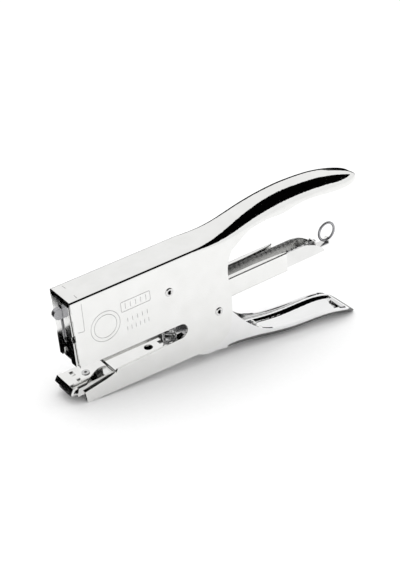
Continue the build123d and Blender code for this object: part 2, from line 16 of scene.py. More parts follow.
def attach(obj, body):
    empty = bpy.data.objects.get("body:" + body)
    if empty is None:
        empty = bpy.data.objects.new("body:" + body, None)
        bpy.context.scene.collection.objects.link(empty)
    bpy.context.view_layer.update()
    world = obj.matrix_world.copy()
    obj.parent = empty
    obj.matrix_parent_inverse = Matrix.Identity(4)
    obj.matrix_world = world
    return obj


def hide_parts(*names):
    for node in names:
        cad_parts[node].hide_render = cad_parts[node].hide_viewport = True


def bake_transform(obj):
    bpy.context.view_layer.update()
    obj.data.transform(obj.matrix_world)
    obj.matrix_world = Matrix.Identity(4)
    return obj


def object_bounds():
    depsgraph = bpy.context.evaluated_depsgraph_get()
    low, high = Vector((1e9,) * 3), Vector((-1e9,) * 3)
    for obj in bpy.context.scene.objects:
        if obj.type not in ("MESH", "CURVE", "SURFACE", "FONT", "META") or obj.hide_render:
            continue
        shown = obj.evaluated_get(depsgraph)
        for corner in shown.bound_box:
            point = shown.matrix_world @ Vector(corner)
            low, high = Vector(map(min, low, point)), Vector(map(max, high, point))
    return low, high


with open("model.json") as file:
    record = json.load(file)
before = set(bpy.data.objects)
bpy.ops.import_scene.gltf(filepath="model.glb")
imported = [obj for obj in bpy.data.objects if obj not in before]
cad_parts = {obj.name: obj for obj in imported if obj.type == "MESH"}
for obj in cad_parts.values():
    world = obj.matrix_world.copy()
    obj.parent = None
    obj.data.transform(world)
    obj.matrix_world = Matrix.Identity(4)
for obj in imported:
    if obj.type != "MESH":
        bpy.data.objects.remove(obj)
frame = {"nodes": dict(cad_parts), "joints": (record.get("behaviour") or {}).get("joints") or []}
cad_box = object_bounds()
MM = 0.001

# %% [markdown]
# ## Finding our way about
# The stapler stands nose down, so "along the body" and "up" are not the world's X and Z.
# Two joints tell us these directions: the rail pulls out straight back along the body, and
# the driver slides straight down it. The squeeze pivot gives one known point. From these we
# make one helper that turns body millimetres (back, across, up) into world metres.

# %% Directions of the body
joints = {joint["name"]: joint for joint in frame["joints"]}
rear = Vector(joints["rail_pull"]["axis"]).normalized()
up = -Vector(joints["driver_slide"]["axis"]).normalized()
across = Vector((0, 1, 0))
PIVOT = (57.4, -18.0)
MAGAZINE_PIVOT = (87.2, -43.3)
corner = Vector(joints["lever_squeeze"]["pos_m"]) - rear * PIVOT[0] * MM - up * PIVOT[1] * MM


def spot(back, aside, height):
    """World place of a point given in body millimetres."""
    return corner + (rear * back + across * aside + up * height) * MM


body_turn = Matrix((rear, across, up)).transposed().to_4x4()
print("body leans", round(rear.angle(Vector((1, 0, 0))) * 180 / pi, 2), "degrees")

# %% [markdown]
# ## The camera
# A long lens keeps the parallel edges nearly parallel. The camera stands on the near side,
# ahead of the nose and well above it, and looks back and down over the length of the tool.
# Its place and its two directions are given along the body, so that they follow the lean.

# %% Camera
LENS = 82.05
SENSOR = 36.0
CAMERA_PLACE = (-233.1, -493.2, 344.3)
AWAY_FROM_VIEW = (-0.455, -0.710, 0.538)
HEAD_UP = (0.364, 0.404, 0.840)


def along_body(direction):
    """A direction given along the body, turned into the world."""
    back, aside, height = direction
    return (rear * back + across * aside + up * height).normalized()


backward = along_body(AWAY_FROM_VIEW)
right = along_body(HEAD_UP).cross(backward).normalized()
upright = backward.cross(right)
camera_data = bpy.data.cameras.new("camera")
camera_data.lens = LENS
camera_data.sensor_width = SENSOR
camera = bpy.data.objects.new("camera", camera_data)
bpy.context.scene.collection.objects.link(camera)
turn = Matrix((right, upright, backward)).transposed().to_4x4()
camera.matrix_world = Matrix.Translation(spot(*CAMERA_PLACE)) @ turn
bpy.context.scene.camera = camera
bpy.context.scene.view_settings.view_transform = "Standard"
print("camera at", [round(x, 3) for x in camera.matrix_world.translation])

# %% [markdown]
# ## Small tools for materials
# Colours are picked as hex values, as in a paint program, and Blender works in linear light,
# so one function converts them. Another adds a node, fills in its values and joins its
# wires: a material is then a short list of such calls.

# %% Helpers for materials


def colour(code):
    """Linear colour of an sRGB hex code."""
    parts = [int(code[i : i + 2], 16) / 255 for i in (1, 3, 5)]
    return [p / 12.92 if p <= 0.04045 else ((p + 0.055) / 1.055) ** 2.4 for p in parts] + [1.0]


def add(tree, kind, links=(), **values):
    """Adds a node. values set its properties or, by socket name with _ for a space, its inputs."""
    node = tree.nodes.new(kind)
    inputs = {}
    for key, value in values.items():
        if hasattr(node, key) and key not in node.inputs:
            setattr(node, key, value)
        else:
            inputs[key] = value
    for key, value in inputs.items():
        node.inputs[key.replace("_", " ")].default_value = value
    for target, source in dict(links).items():
        tree.links.new(source, node.inputs[target])
    return node


def blank_material(name):
    """A new material with an empty tree."""
    material = bpy.data.materials.new(name)
    material.use_nodes = True
    material.node_tree.nodes.clear()
    return material, material.node_tree


print("white is", colour("#FFFFFF"), "and mid grey is", [round(c, 3) for c in colour("#808080")])

# %% [markdown]
# ## Bright nickel plate
# The body and the handle are pressed from steel sheet, polished on a buffing wheel and
# nickel plated. To the eye that is a mirror that isn't quite flat: reflections swim a
# little over areas a few millimetres wide, and the flat cheeks keep a soft satin bloom
# because the wheel never presses as hard there as on the bends. We could paint that in an
# image, but a few noise nodes on object coordinates do it at true size and at any
# resolution. The same recipe, with other numbers, serves every plated piece.

# %% The plated recipe


def plated(name, tint, shade, rough, satin, ripple, lines, grain_turn):
    """Plated steel. tint and shade are its two tones; satin is the extra roughness of flat cheeks."""
    material, tree = blank_material(name)
    place = add(tree, "ShaderNodeTexCoord")
    geometry = add(tree, "ShaderNodeNewGeometry")
    # Turn the pattern so that its first axis runs along the body.
    aligned = add(
        tree,
        "ShaderNodeMapping",
        {"Vector": place.outputs["Object"]},
        vector_type="POINT",
        Rotation=grain_turn,
    )
    # Buffing bloom, patches about 9 mm wide.
    bloom = add(tree, "ShaderNodeTexNoise", {"Vector": aligned.outputs[0]}, Scale=110.0, Detail=3.0)
    # Polishing lines: a third of a millimetre apart, 12 mm long.
    stretch = add(
        tree,
        "ShaderNodeMapping",
        {"Vector": aligned.outputs[0]},
        Scale=(80.0, 3000.0, 3000.0),
    )
    grain = add(tree, "ShaderNodeTexNoise", {"Vector": stretch.outputs[0]}, Scale=1.0, Detail=2.0)
    # How squarely a face looks sideways: 1 on the flat cheeks, 0 on bends and top.
    split = add(tree, "ShaderNodeSeparateXYZ", {"Vector": geometry.outputs["Normal"]})
    sideways = add(tree, "ShaderNodeMath", {0: split.outputs["Y"]}, operation="ABSOLUTE")
    cheek = add(
        tree,
        "ShaderNodeMapRange",
        {"Value": sideways.outputs[0]},
        From_Min=0.93,
        From_Max=0.995,
        To_Min=0.0,
        To_Max=satin,
    )
    patch = add(
        tree,
        "ShaderNodeMapRange",
        {"Value": bloom.outputs["Fac"]},
        From_Min=0.3,
        From_Max=0.7,
        To_Min=rough * 0.7,
        To_Max=rough * 1.5,
    )
    roughness = add(
        tree,
        "ShaderNodeMath",
        {0: patch.outputs[0], 1: cheek.outputs[0]},
        operation="ADD",
        use_clamp=True,
    )
    tone = add(
        tree,
        "ShaderNodeMix",
        {"Factor": bloom.outputs["Fac"]},
        data_type="RGBA",
    )
    tone.inputs["A"].default_value = colour(shade)
    tone.inputs["B"].default_value = colour(tint)
    swim = add(
        tree,
        "ShaderNodeBump",
        {"Height": bloom.outputs["Fac"]},
        Strength=ripple,
        Distance=0.00025,
    )
    scratch = add(
        tree,
        "ShaderNodeBump",
        {"Height": grain.outputs["Fac"], "Normal": swim.outputs[0]},
        Strength=lines,
        Distance=0.00002,
    )
    metal = add(
        tree,
        "ShaderNodeBsdfPrincipled",
        {
            "Base Color": tone.outputs["Result"],
            "Roughness": roughness.outputs[0],
            "Normal": scratch.outputs[0],
        },
        Metallic=1.0,
    )
    add(tree, "ShaderNodeOutputMaterial", {"Surface": metal.outputs[0]})
    return material


print("recipe ready:", plated.__name__)

# %% [markdown]
# ## Five plated finishes
# Each finish is one call. The numbers after the two tones are the base roughness, the extra
# roughness of flat cheeks, the strength of the swimming reflections and the strength of the
# polishing lines. Handles are rubbed smoother by hand than the body is by the wheel, inner
# parts are plated in a barrel and stay duller, and the blade and the bar that drives it
# are ground, not plated.

# %% Plated finishes
lean_turn = (0.0, rear.angle(Vector((1, 0, 0))), 0.0)
bright_nickel = plated(
    "bright nickel plate", "#F1F1F0", "#E3E3E1", 0.05, 0.17, 0.10, 0.12, lean_turn
)
handle_nickel = plated(
    "hand-buffed nickel plate", "#F3F3F3", "#E9E9E9", 0.035, 0.10, 0.05, 0.05, lean_turn
)
inner_nickel = plated(
    "barrel-plated inner sheet", "#EBEBEA", "#D9D9D8", 0.10, 0.10, 0.15, 0.30, lean_turn
)
hard_blade = plated(
    "hardened and ground blade steel", "#B9B9BB", "#9C9CA0", 0.22, 0.05, 0.10, 0.60, lean_turn
)
stamped_nickel = plated(
    "dull nickel in stamped lines", "#C4C4C3", "#A2A2A2", 0.30, 0.10, 0.10, 0.30, lean_turn
)
print("plated finishes:", 5)

# %% [markdown]
# ## Turned rivet heads
# A rivet head is spun down by a rotary punch, which leaves fine rings round its centre, as
# on a part turned on a lathe. Rings need to know how far a point is from the rivet's axis:
# a Mapping node moves the pattern's centre there, and the distance is worked out from the
# two other axes.

# %% Rivet finishes


def turned(name, centre, tint):
    """Plated rivet metal with rings round the axis through centre, which runs across."""
    material, tree = blank_material(name)
    place = add(tree, "ShaderNodeTexCoord")
    moved = add(
        tree,
        "ShaderNodeMapping",
        {"Vector": place.outputs["Object"]},
        vector_type="POINT",
        Location=-centre,
    )
    flat = add(
        tree,
        "ShaderNodeVectorMath",
        {0: moved.outputs[0]},
        operation="MULTIPLY",
    )
    flat.inputs[1].default_value = (1.0, 0.0, 1.0)
    away = add(tree, "ShaderNodeVectorMath", {0: flat.outputs[0]}, operation="LENGTH")
    # Rings 0.2 mm apart.
    rings = add(
        tree,
        "ShaderNodeMath",
        {0: away.outputs["Value"]},
        operation="MULTIPLY",
    )
    rings.inputs[1].default_value = 2 * pi / (0.2 * MM)
    wave = add(tree, "ShaderNodeMath", {0: rings.outputs[0]}, operation="SINE")
    dust = add(tree, "ShaderNodeTexNoise", {"Vector": place.outputs["Object"]}, Scale=900.0)
    rough = add(
        tree,
        "ShaderNodeMapRange",
        {"Value": dust.outputs["Fac"]},
        To_Min=0.12,
        To_Max=0.30,
    )
    bump = add(tree, "ShaderNodeBump", {"Height": wave.outputs[0]}, Strength=0.25, Distance=0.00002)
    metal = add(
        tree,
        "ShaderNodeBsdfPrincipled",
        {"Roughness": rough.outputs[0], "Normal": bump.outputs[0]},
        Metallic=1.0,
    )
    metal.inputs["Base Color"].default_value = colour(tint)
    add(tree, "ShaderNodeOutputMaterial", {"Surface": metal.outputs[0]})
    return material


upper_rivet_metal = turned("spun rivet steel upper", spot(PIVOT[0], 0, PIVOT[1]), "#D9D9D8")
lower_rivet_metal = turned(
    "spun rivet steel lower", spot(MAGAZINE_PIVOT[0], 0, MAGAZINE_PIVOT[1]), "#D9D9D8"
)
print("rivet finishes:", 2)

# %% [markdown]
# ## Drawn wire
# Wire comes out of its die with a fine tooth that holds oil in patches. One recipe serves a
# dark oiled finish, a bright plated one and a darker one for the ring that fingers pull: the ring's
# darker tones are painted reflection, standing in for the dark reflections along its edges.

# %% Wire finishes


def drawn_wire(name, tint, shade):
    """Spring wire: darker in patches about 1.5 mm long, with a fine drawn roughness."""
    material, tree = blank_material(name)
    place = add(tree, "ShaderNodeTexCoord")
    patches = add(
        tree, "ShaderNodeTexNoise", {"Vector": place.outputs["Object"]}, Scale=650.0, Detail=4.0
    )
    tone = add(tree, "ShaderNodeMix", {"Factor": patches.outputs["Fac"]}, data_type="RGBA")
    tone.inputs["A"].default_value = colour(shade)
    tone.inputs["B"].default_value = colour(tint)
    rough = add(
        tree,
        "ShaderNodeMapRange",
        {"Value": patches.outputs["Fac"]},
        To_Min=0.15,
        To_Max=0.32,
    )
    bump = add(
        tree, "ShaderNodeBump", {"Height": patches.outputs["Fac"]}, Strength=0.1, Distance=0.00003
    )
    metal = add(
        tree,
        "ShaderNodeBsdfPrincipled",
        {
            "Base Color": tone.outputs["Result"],
            "Roughness": rough.outputs[0],
            "Normal": bump.outputs[0],
        },
        Metallic=1.0,
    )
    add(tree, "ShaderNodeOutputMaterial", {"Surface": metal.outputs[0]})
    return material


spring_steel = drawn_wire("oiled spring wire", "#9A9A9C", "#5E5E62")
bright_wire = drawn_wire("nickel-plated wire", "#E4E4E3", "#C4C4C6")
# The pull ring's darker tones are painted reflection: they stand in for the dark reflections along
# its edges.
ring_wire_painted_dark = drawn_wire("ring wire with painted dark reflections", "#B4B4B6", "#7C7C80")
print("wire finishes:", 3)

# %% [markdown]
# ## Clean sheet metal
# The working meshes are bundles of loose triangles with knife-sharp corners. Real sheet is
# sheared and then tumbled or buffed, so every edge carries a radius of a tenth of a
# millimetre or two, and that radius is what catches the light. We copy each mesh, merge its
# doubled points, melt the flat triangles into whole faces and let a Bevel modifier round
# the sharp edges. Subdivision would also give soft edges, but it would pull the flat sheet
# out of true. The two big pressings have an edge of 0: their bends are already round, and
# a bevel on such long curved edges takes minutes to work out.

# %% Clean copies with soft edges
MERGE = 0.5e-6
FLAT = radians(0.2)
SHARP = radians(32)
BEVELLED = radians(40)


def finished_copy(node, name, body, finish, edge):
    """A clean copy of a node's mesh, edges rounded by edge millimetres, which stands for it."""
    mesh = frame["nodes"][node].data.copy()
    mesh.name = name
    shape = bmesh.new()
    shape.from_mesh(mesh)
    bmesh.ops.remove_doubles(shape, verts=shape.verts, dist=MERGE)
    bmesh.ops.dissolve_limit(
        shape, angle_limit=FLAT, verts=shape.verts, edges=shape.edges, delimit={"NORMAL"}
    )
    shape.to_mesh(mesh)
    shape.free()
    if "custom_normal" in mesh.attributes:
        mesh.attributes.remove(mesh.attributes["custom_normal"])
    mesh.materials.clear()
    mesh.materials.append(finish)
    mesh.polygons.foreach_set("use_smooth", [True] * len(mesh.polygons))
    mesh.set_sharp_from_angle(angle=SHARP)
    piece = bpy.data.objects.new(name, mesh)
    bpy.context.scene.collection.objects.link(piece)
    if edge:
        bevel = piece.modifiers.new("soft edge", "BEVEL")
        bevel.width = edge * MM
        bevel.segments = 2
        bevel.limit_method = "ANGLE"
        bevel.angle_limit = BEVELLED
        bevel.harden_normals = True
        bevel.use_clamp_overlap = True
    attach(piece, body)
    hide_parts(node)
    return piece


SHEETS = [
    ("body_shell", "pressed_body", "frame", "plated_body", bright_nickel, 0),
    ("lever_handle", "squeeze_handle", "lever", "plated_body", handle_nickel, 0),
    ("arm_channel", "lower_arm", "frame", "inner_plate", inner_nickel, 0.1),
    ("deck_plate", "throat_deck", "frame", "inner_plate", bright_nickel, 0.12),
    ("anvil_plate", "clinching_anvil", "frame", "inner_plate", bright_nickel, 0.12),
    ("magazine_channel", "staple_magazine", "magazine", "inner_plate", bright_nickel, 0.12),
    ("front_guide", "front_slot_plate", "magazine", "inner_plate", inner_nickel, 0.1),
    ("staple_rail", "pull_out_rail", "rail", "inner_plate", inner_nickel, 0.1),
    ("rod_anchor", "rail_end_plate", "rail", "inner_plate", inner_nickel, 0.08),
    ("follower", "staple_pusher", "pusher", "inner_plate", inner_nickel, 0.12),
    ("driver_blade", "driving_blade", "driver", "blade_steel", hard_blade, 0.05),
    ("lever_nose", "lever_front_bar", "lever", "rivet_steel", hard_blade, 0.2),
    ("spring_anchor", "spring_hook_plate", "lever", "inner_plate", inner_nickel, 0.08),
]
for node, name, body, slot, finish, edge in SHEETS:
    piece = finished_copy(node, name, body, finish, edge)
    print(name, len(piece.data.polygons), "faces")

# %% [markdown]
# ## Parts that are already right
# The rivets, the rod, the ring and the spring stud are round and come with smooth shading,
# so they only need their finish. The rivet node holds two rivets, and each has its own
# ring centre: faces nearer the rear pivot get the second material.

# %% Finishes for the round parts


def refinish(node, *finishes):
    """Gives a carried-over part its materials."""
    mesh = frame["nodes"][node].data
    mesh.materials.clear()
    for finish in finishes:
        mesh.materials.append(finish)
    return mesh


rivets = refinish("pivot_rivets", upper_rivet_metal, lower_rivet_metal)
midway = (spot(PIVOT[0], 0, 0).x + spot(MAGAZINE_PIVOT[0], 0, 0).x) / 2
for face in rivets.polygons:
    face.material_index = 1 if face.center.x > midway else 0
ANVIL_RIVET = (8.2, -51.0)
anvil_rivet_metal = turned(
    "spun rivet steel anvil", spot(ANVIL_RIVET[0], 0, ANVIL_RIVET[1]), "#CFCFCF"
)
refinish("anvil_rivet", anvil_rivet_metal)
refinish("spring_seat", bright_wire)
refinish("guide_rod", bright_wire)
refinish("pull_ring", ring_wire_painted_dark)
print("rivets, rod, ring and stud refinished")

# %% [markdown]
# ## Growing a mesh and freezing it
# A Geometry Nodes tree is a small machine with named inputs. One helper makes an empty tree,
# and the other runs a tree on a holder object, copies the result into a plain mesh and
# throws the holder away, so that nothing live is left behind.

# %% Helpers for node trees


def new_tree(name, sockets):
    """An empty Geometry Nodes tree with named inputs, and its input and output nodes."""
    tree = bpy.data.node_groups.new(name, "GeometryNodeTree")
    tree.interface.new_socket("Geometry", in_out="OUTPUT", socket_type="NodeSocketGeometry")
    for label, kind in sockets:
        tree.interface.new_socket(label, in_out="INPUT", socket_type="NodeSocket" + kind)
    return tree, tree.nodes.new("NodeGroupInput"), tree.nodes.new("NodeGroupOutput")


def grown(name, tree, values, mesh=None):
    """Runs a tree with these input values and returns the result as a plain mesh object."""
    holder = bpy.data.objects.new(name + "_holder", mesh or bpy.data.meshes.new(name + "_holder"))
    bpy.context.scene.collection.objects.link(holder)
    modifier = holder.modifiers.new("grow", "NODES")
    modifier.node_group = tree
    for socket in tree.interface.items_tree:
        if socket.in_out == "INPUT" and socket.name in values:
            modifier[socket.identifier] = values[socket.name]
    holder.update_tag()
    bpy.context.view_layer.update()
    ready = holder.evaluated_get(bpy.context.evaluated_depsgraph_get())
    frozen = bpy.data.meshes.new_from_object(ready)
    frozen.name = name
    piece = bpy.data.objects.new(name, frozen)
    bpy.context.scene.collection.objects.link(piece)
    bpy.data.objects.remove(holder)
    return piece


print("tree helpers ready:", new_tree.__name__, "and", grown.__name__)

# %% [markdown]
# ## Winding the springs
# A coil is a curve that climbs as it turns, with a round wire swept along it. Geometry
# Nodes does this with one spiral and one profile circle, and its inputs are the numbers a
# spring maker would ask for: turns, radius, length and wire. One tree winds the two springs
# that push. It ends by realising its instances and setting the material, so that the frozen
# mesh is plain faces with their finish.

# %% The coil tree
coil_tree, given, result = new_tree(
    "coil spring",
    [
        ("Turns", "Float"),
        ("Radius", "Float"),
        ("Length", "Float"),
        ("Wire Radius", "Float"),
        ("Points Per Turn", "Int"),
        ("Rotation", "Rotation"),
        ("Place", "Vector"),
        ("Finish", "Material"),
    ],
)
spiral = add(
    coil_tree,
    "GeometryNodeCurveSpiral",
    {
        "Resolution": given.outputs["Points Per Turn"],
        "Rotations": given.outputs["Turns"],
        "Start Radius": given.outputs["Radius"],
        "End Radius": given.outputs["Radius"],
        "Height": given.outputs["Length"],
    },
)
wire = add(
    coil_tree,
    "GeometryNodeCurvePrimitiveCircle",
    {"Radius": given.outputs["Wire Radius"]},
    Resolution=12,
)
swept = add(
    coil_tree,
    "GeometryNodeCurveToMesh",
    {"Curve": spiral.outputs["Curve"], "Profile Curve": wire.outputs["Curve"]},
    Fill_Caps=True,
)
placed = add(
    coil_tree,
    "GeometryNodeTransform",
    {
        "Geometry": swept.outputs[0],
        "Translation": given.outputs["Place"],
        "Rotation": given.outputs["Rotation"],
    },
)
smooth = add(coil_tree, "GeometryNodeSetShadeSmooth", {"Geometry": placed.outputs[0]})
real = add(coil_tree, "GeometryNodeRealizeInstances", {"Geometry": smooth.outputs[0]})
coated = add(
    coil_tree,
    "GeometryNodeSetMaterial",
    {"Geometry": real.outputs[0], "Material": given.outputs["Finish"]},
)
coil_tree.links.new(coated.outputs[0], result.inputs["Geometry"])
print("coil tree:", len(coil_tree.nodes), "nodes")

# %% [markdown]
# ## The magazine spring and the pusher spring
# The short compression spring stands on a stud on the arm floor and holds the magazine up.
# The long one is threaded on the guide rod and pushes the staple pusher forward. When the
# magazine drops or the pusher is drawn back, one of them is squeezed between two bodies.

# %% Compression springs


def coil(name, start, way, length, turns, radius, wire_radius, per_turn, finish):
    """A coil from start along way. Lengths in millimetres."""
    tilt = Vector((0, 0, 1)).rotation_difference(way)
    return grown(
        name,
        coil_tree,
        {
            "Turns": float(turns),
            "Radius": radius * MM,
            "Length": length * MM,
            "Wire Radius": wire_radius * MM,
            "Points Per Turn": per_turn,
            "Rotation": tilt.to_euler(),
            "Place": start,
            "Finish": finish,
        },
    )


SEAT = (60.6, -55.5)
CHANNEL_FLOOR = -40.0
END_ROOM = 0.48
magazine_coil = coil(
    "magazine_coil_spring",
    spot(SEAT[0], 0, SEAT[1] + END_ROOM),
    up,
    length=CHANNEL_FLOOR - SEAT[1] - 2 * END_ROOM,
    turns=5.5,
    radius=3.6,
    wire_radius=0.45,
    per_turn=28,
    finish=bright_wire,
)
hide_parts("magazine_spring")
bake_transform(magazine_coil)

ROD_HEIGHT = -34.3
PUSHER_BACK = 16.8
ANCHOR_BACK = 160.0
ROD_END_ROOM = 0.3
pusher_coil = coil(
    "pusher_coil_spring",
    spot(PUSHER_BACK + ROD_END_ROOM, 0, ROD_HEIGHT),
    rear,
    length=ANCHOR_BACK - PUSHER_BACK - 2 * ROD_END_ROOM,
    turns=46,
    radius=1.7,
    wire_radius=0.25,
    per_turn=20,
    finish=spring_steel,
)
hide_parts("follower_spring")
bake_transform(pusher_coil)
print("coil springs:", len(magazine_coil.data.polygons), len(pusher_coil.data.polygons), "faces")

# %% [markdown]
# ## A wire that follows any path
# Not every wire is a plain spiral. This second tree takes its path from a mesh of edges,
# turns it into a curve and sweeps a round wire along it. It makes the handle spring with
# its hooks, and the raised marks further on.

# %% The tree that sweeps a wire along a path
path_tree, given, result = new_tree(
    "wire along a path",
    [("Path", "Geometry"), ("Wire Radius", "Float"), ("Sides", "Int"), ("Finish", "Material")],
)
line = add(path_tree, "GeometryNodeMeshToCurve", {"Mesh": given.outputs["Path"]})
wire = add(
    path_tree,
    "GeometryNodeCurvePrimitiveCircle",
    {"Radius": given.outputs["Wire Radius"], "Resolution": given.outputs["Sides"]},
)
swept = add(
    path_tree,
    "GeometryNodeCurveToMesh",
    {"Curve": line.outputs["Curve"], "Profile Curve": wire.outputs["Curve"]},
    Fill_Caps=True,
)
smooth = add(path_tree, "GeometryNodeSetShadeSmooth", {"Geometry": swept.outputs[0]})
real = add(path_tree, "GeometryNodeRealizeInstances", {"Geometry": smooth.outputs[0]})
coated = add(
    path_tree,
    "GeometryNodeSetMaterial",
    {"Geometry": real.outputs[0], "Material": given.outputs["Finish"]},
)
path_tree.links.new(coated.outputs[0], result.inputs["Geometry"])
print("path tree:", len(path_tree.nodes), "nodes")


def path_mesh(name, paths, closed=False):
    """A mesh of nothing but edges, one chain for each path."""
    points = []
    edges = []
    for path in paths:
        first = len(points)
        points += path
        edges += [(first + i, first + i + 1) for i in range(len(path) - 1)]
        if closed:
            edges.append((first + len(path) - 1, first))
    mesh = bpy.data.meshes.new(name)
    mesh.from_pydata(points, edges, [])
    return mesh


# %% [markdown]
# ## The handle spring
# This one pulls, so its turns lie close together, and each end is bent out into a hook: the
# front hook catches a tab on the arm, the rear hook a small plate in the handle. The whole
# wire is one path, from a short formula for each stretch: hook, coil, hook.

# %% The handle spring
TAB = (70.0, -60.5)
ANCHOR = (116.0, -70.0)
PULL_RADIUS = 2.2
PULL_WIRE = 0.35
PULL_TURNS = 36
PER_TURN = 18
HOOK_ROOM = 3.4
HOOK_RADIUS = 1.5
HOOK_REACH = 0.6
HOOK_STEPS = 14
HOOK_START = -120
HOOK_TURN = 210
WIRE_SIDES = 10
HOOK_SHIFT = 0.5
tab = spot(TAB[0], 0, TAB[1])
anchor = spot(ANCHOR[0] + HOOK_SHIFT, 0, ANCHOR[1])
pull_way = (anchor - tab).normalized()
pull_length = (anchor - tab).length / MM
rise = pull_way.cross(across).normalized()


def pull_point(along, aside, height):
    """Place in the handle spring's own directions, millimetres from the tab."""
    return tab + (pull_way * along + across * aside + rise * height) * MM


wire_path = []
# Front hook: a little over half a circle in the upright plane, then in to the coil.
for i in range(HOOK_STEPS + 1):
    bend = radians(HOOK_START + i * HOOK_TURN / HOOK_STEPS)
    back = HOOK_RADIUS * (1 - cos(bend)) - HOOK_REACH
    wire_path.append(pull_point(back, 0, HOOK_RADIUS * sin(bend)))
coil_length = pull_length - 2 * HOOK_ROOM
for i in range(PULL_TURNS * PER_TURN + 1):
    bend = 2 * pi * i / PER_TURN
    back = HOOK_ROOM + coil_length * i / (PULL_TURNS * PER_TURN)
    wire_path.append(pull_point(back, PULL_RADIUS * sin(bend), PULL_RADIUS * cos(bend)))
# Rear hook: the same bend, run backwards.
for i in range(HOOK_STEPS + 1):
    bend = radians(HOOK_START + HOOK_TURN - i * HOOK_TURN / HOOK_STEPS)
    back = pull_length + HOOK_REACH - HOOK_RADIUS * (1 - cos(bend))
    wire_path.append(pull_point(back, 0, HOOK_RADIUS * sin(bend)))
handle_coil = grown(
    "handle_pull_spring",
    path_tree,
    {"Wire Radius": PULL_WIRE * MM, "Sides": WIRE_SIDES, "Finish": spring_steel},
    path_mesh("handle_spring_path", [wire_path]),
)
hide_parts("lever_spring")
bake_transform(handle_coil)
print("handle spring:", PULL_TURNS, "turns,", len(handle_coil.data.polygons), "faces")

# %% [markdown]
# ## Marks pressed into the body
# The press leaves a few fine raised lines on the near cheek and on top: a folding line near
# the nose, a round seal and a name frame. The seal stays blank here. Each line is a wire
# sunk into the sheet so that only a sliver stands proud, which gives true edges that catch
# the light.

# %% Raised lines
CHEEK = -10.0
LINE_WIRE = 0.2
PROUD = 0.1
CORNER_STEPS = 5
sunk = CHEEK + LINE_WIRE - PROUD


def ring_path(centre, radius, count=72):
    """Points round a circle on the near cheek."""
    return [
        spot(
            centre[0] + radius * cos(2 * pi * i / count),
            sunk,
            centre[1] + radius * sin(2 * pi * i / count),
        )
        for i in range(count)
    ]


def frame_path(left, right_side, low, high, corner_radius):
    """Points round a rounded frame on the near cheek."""
    points = []
    for middle, first in (
        ((right_side - corner_radius, high - corner_radius), 0),
        ((left + corner_radius, high - corner_radius), 90),
        ((left + corner_radius, low + corner_radius), 180),
        ((right_side - corner_radius, low + corner_radius), 270),
    ):
        for step in range(CORNER_STEPS + 1):
            bend = radians(first + step * 90 / CORNER_STEPS)
            points.append(
                spot(
                    middle[0] + corner_radius * cos(bend),
                    sunk,
                    middle[1] + corner_radius * sin(bend),
                )
            )
    return points


seal = (18.2, -21.3)
closed_lines = [
    ring_path(seal, 8.6),
    ring_path(seal, 6.6),
    frame_path(28.2, 45.8, -17.6, -11.8, 0.8),
]
TOP_SUNK = -LINE_WIRE + PROUD
open_lines = [
    [spot(6.4, sunk, -2.6), spot(6.2, sunk, -18.4), spot(5.6, sunk, -18.9), spot(2.4, sunk, -18.3)],
    [spot(5.8, -7.6, TOP_SUNK), spot(5.9, -4.6, TOP_SUNK)],
    [spot(6.0, 4.0, TOP_SUNK), spot(5.9, 7.0, TOP_SUNK)],
]
line_values = {"Wire Radius": LINE_WIRE * MM, "Sides": WIRE_SIDES, "Finish": stamped_nickel}
seal_and_frame = grown(
    "pressed_seal_and_frame", path_tree, line_values, path_mesh("closed", closed_lines, True)
)
fold_lines = grown("pressed_fold_lines", path_tree, line_values, path_mesh("open", open_lines))
for piece in (seal_and_frame, fold_lines):
    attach(piece, "frame")
print("raised lines:", len(closed_lines) + len(open_lines))

# %% [markdown]
# ## Rows of plain strokes
# Where the real tool carries lettering, this one has rows of short upright strokes. They
# repeat at an even pitch, which is a job for a line of points with a bar on each.

# %% The stroke tree
row_tree, given, result = new_tree(
    "row of strokes",
    [
        ("Count", "Int"),
        ("Pitch", "Vector"),
        ("Start", "Vector"),
        ("Height", "Float"),
        ("Wire Radius", "Float"),
        ("Rotation", "Rotation"),
        ("Finish", "Material"),
    ],
)
row = add(
    row_tree,
    "GeometryNodeMeshLine",
    {
        "Count": given.outputs["Count"],
        "Start Location": given.outputs["Start"],
        "Offset": given.outputs["Pitch"],
    },
    mode="OFFSET",
)
bar = add(
    row_tree,
    "GeometryNodeMeshCylinder",
    {"Radius": given.outputs["Wire Radius"], "Depth": given.outputs["Height"]},
    Vertices=WIRE_SIDES,
)
bars = add(
    row_tree,
    "GeometryNodeInstanceOnPoints",
    {
        "Points": row.outputs["Mesh"],
        "Instance": bar.outputs["Mesh"],
        "Rotation": given.outputs["Rotation"],
    },
)
real = add(row_tree, "GeometryNodeRealizeInstances", {"Geometry": bars.outputs[0]})
coated = add(
    row_tree,
    "GeometryNodeSetMaterial",
    {"Geometry": real.outputs[0], "Material": given.outputs["Finish"]},
)
row_tree.links.new(coated.outputs[0], result.inputs["Geometry"])
print("stroke tree:", len(row_tree.nodes), "nodes")

# %% [markdown]
# ## Setting out the rows
# The tree is used three times, once inside the frame and twice under it. Each row starts at
# its own place on the cheek, and the strokes stand square to the body, not to the table.

# %% Three rows of strokes
body_euler = body_turn.to_euler()
for name, count, first, pitch, height in (
    ("pressed_strokes_in_frame", 5, (30.8, -14.7), 3.1, 3.0),
    ("pressed_strokes_middle", 5, (31.2, -23.4), 3.0, 2.4),
    ("pressed_strokes_low", 6, (30.6, -28.4), 2.6, 2.4),
):
    piece = grown(
        name,
        row_tree,
        {
            "Count": count,
            "Pitch": rear * pitch * MM,
            "Start": spot(first[0], sunk, first[1]),
            "Height": height * MM,
            "Wire Radius": LINE_WIRE * MM,
            "Rotation": body_euler,
            "Finish": stamped_nickel,
        },
    )
    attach(piece, "frame")
print("stroke rows: 3")

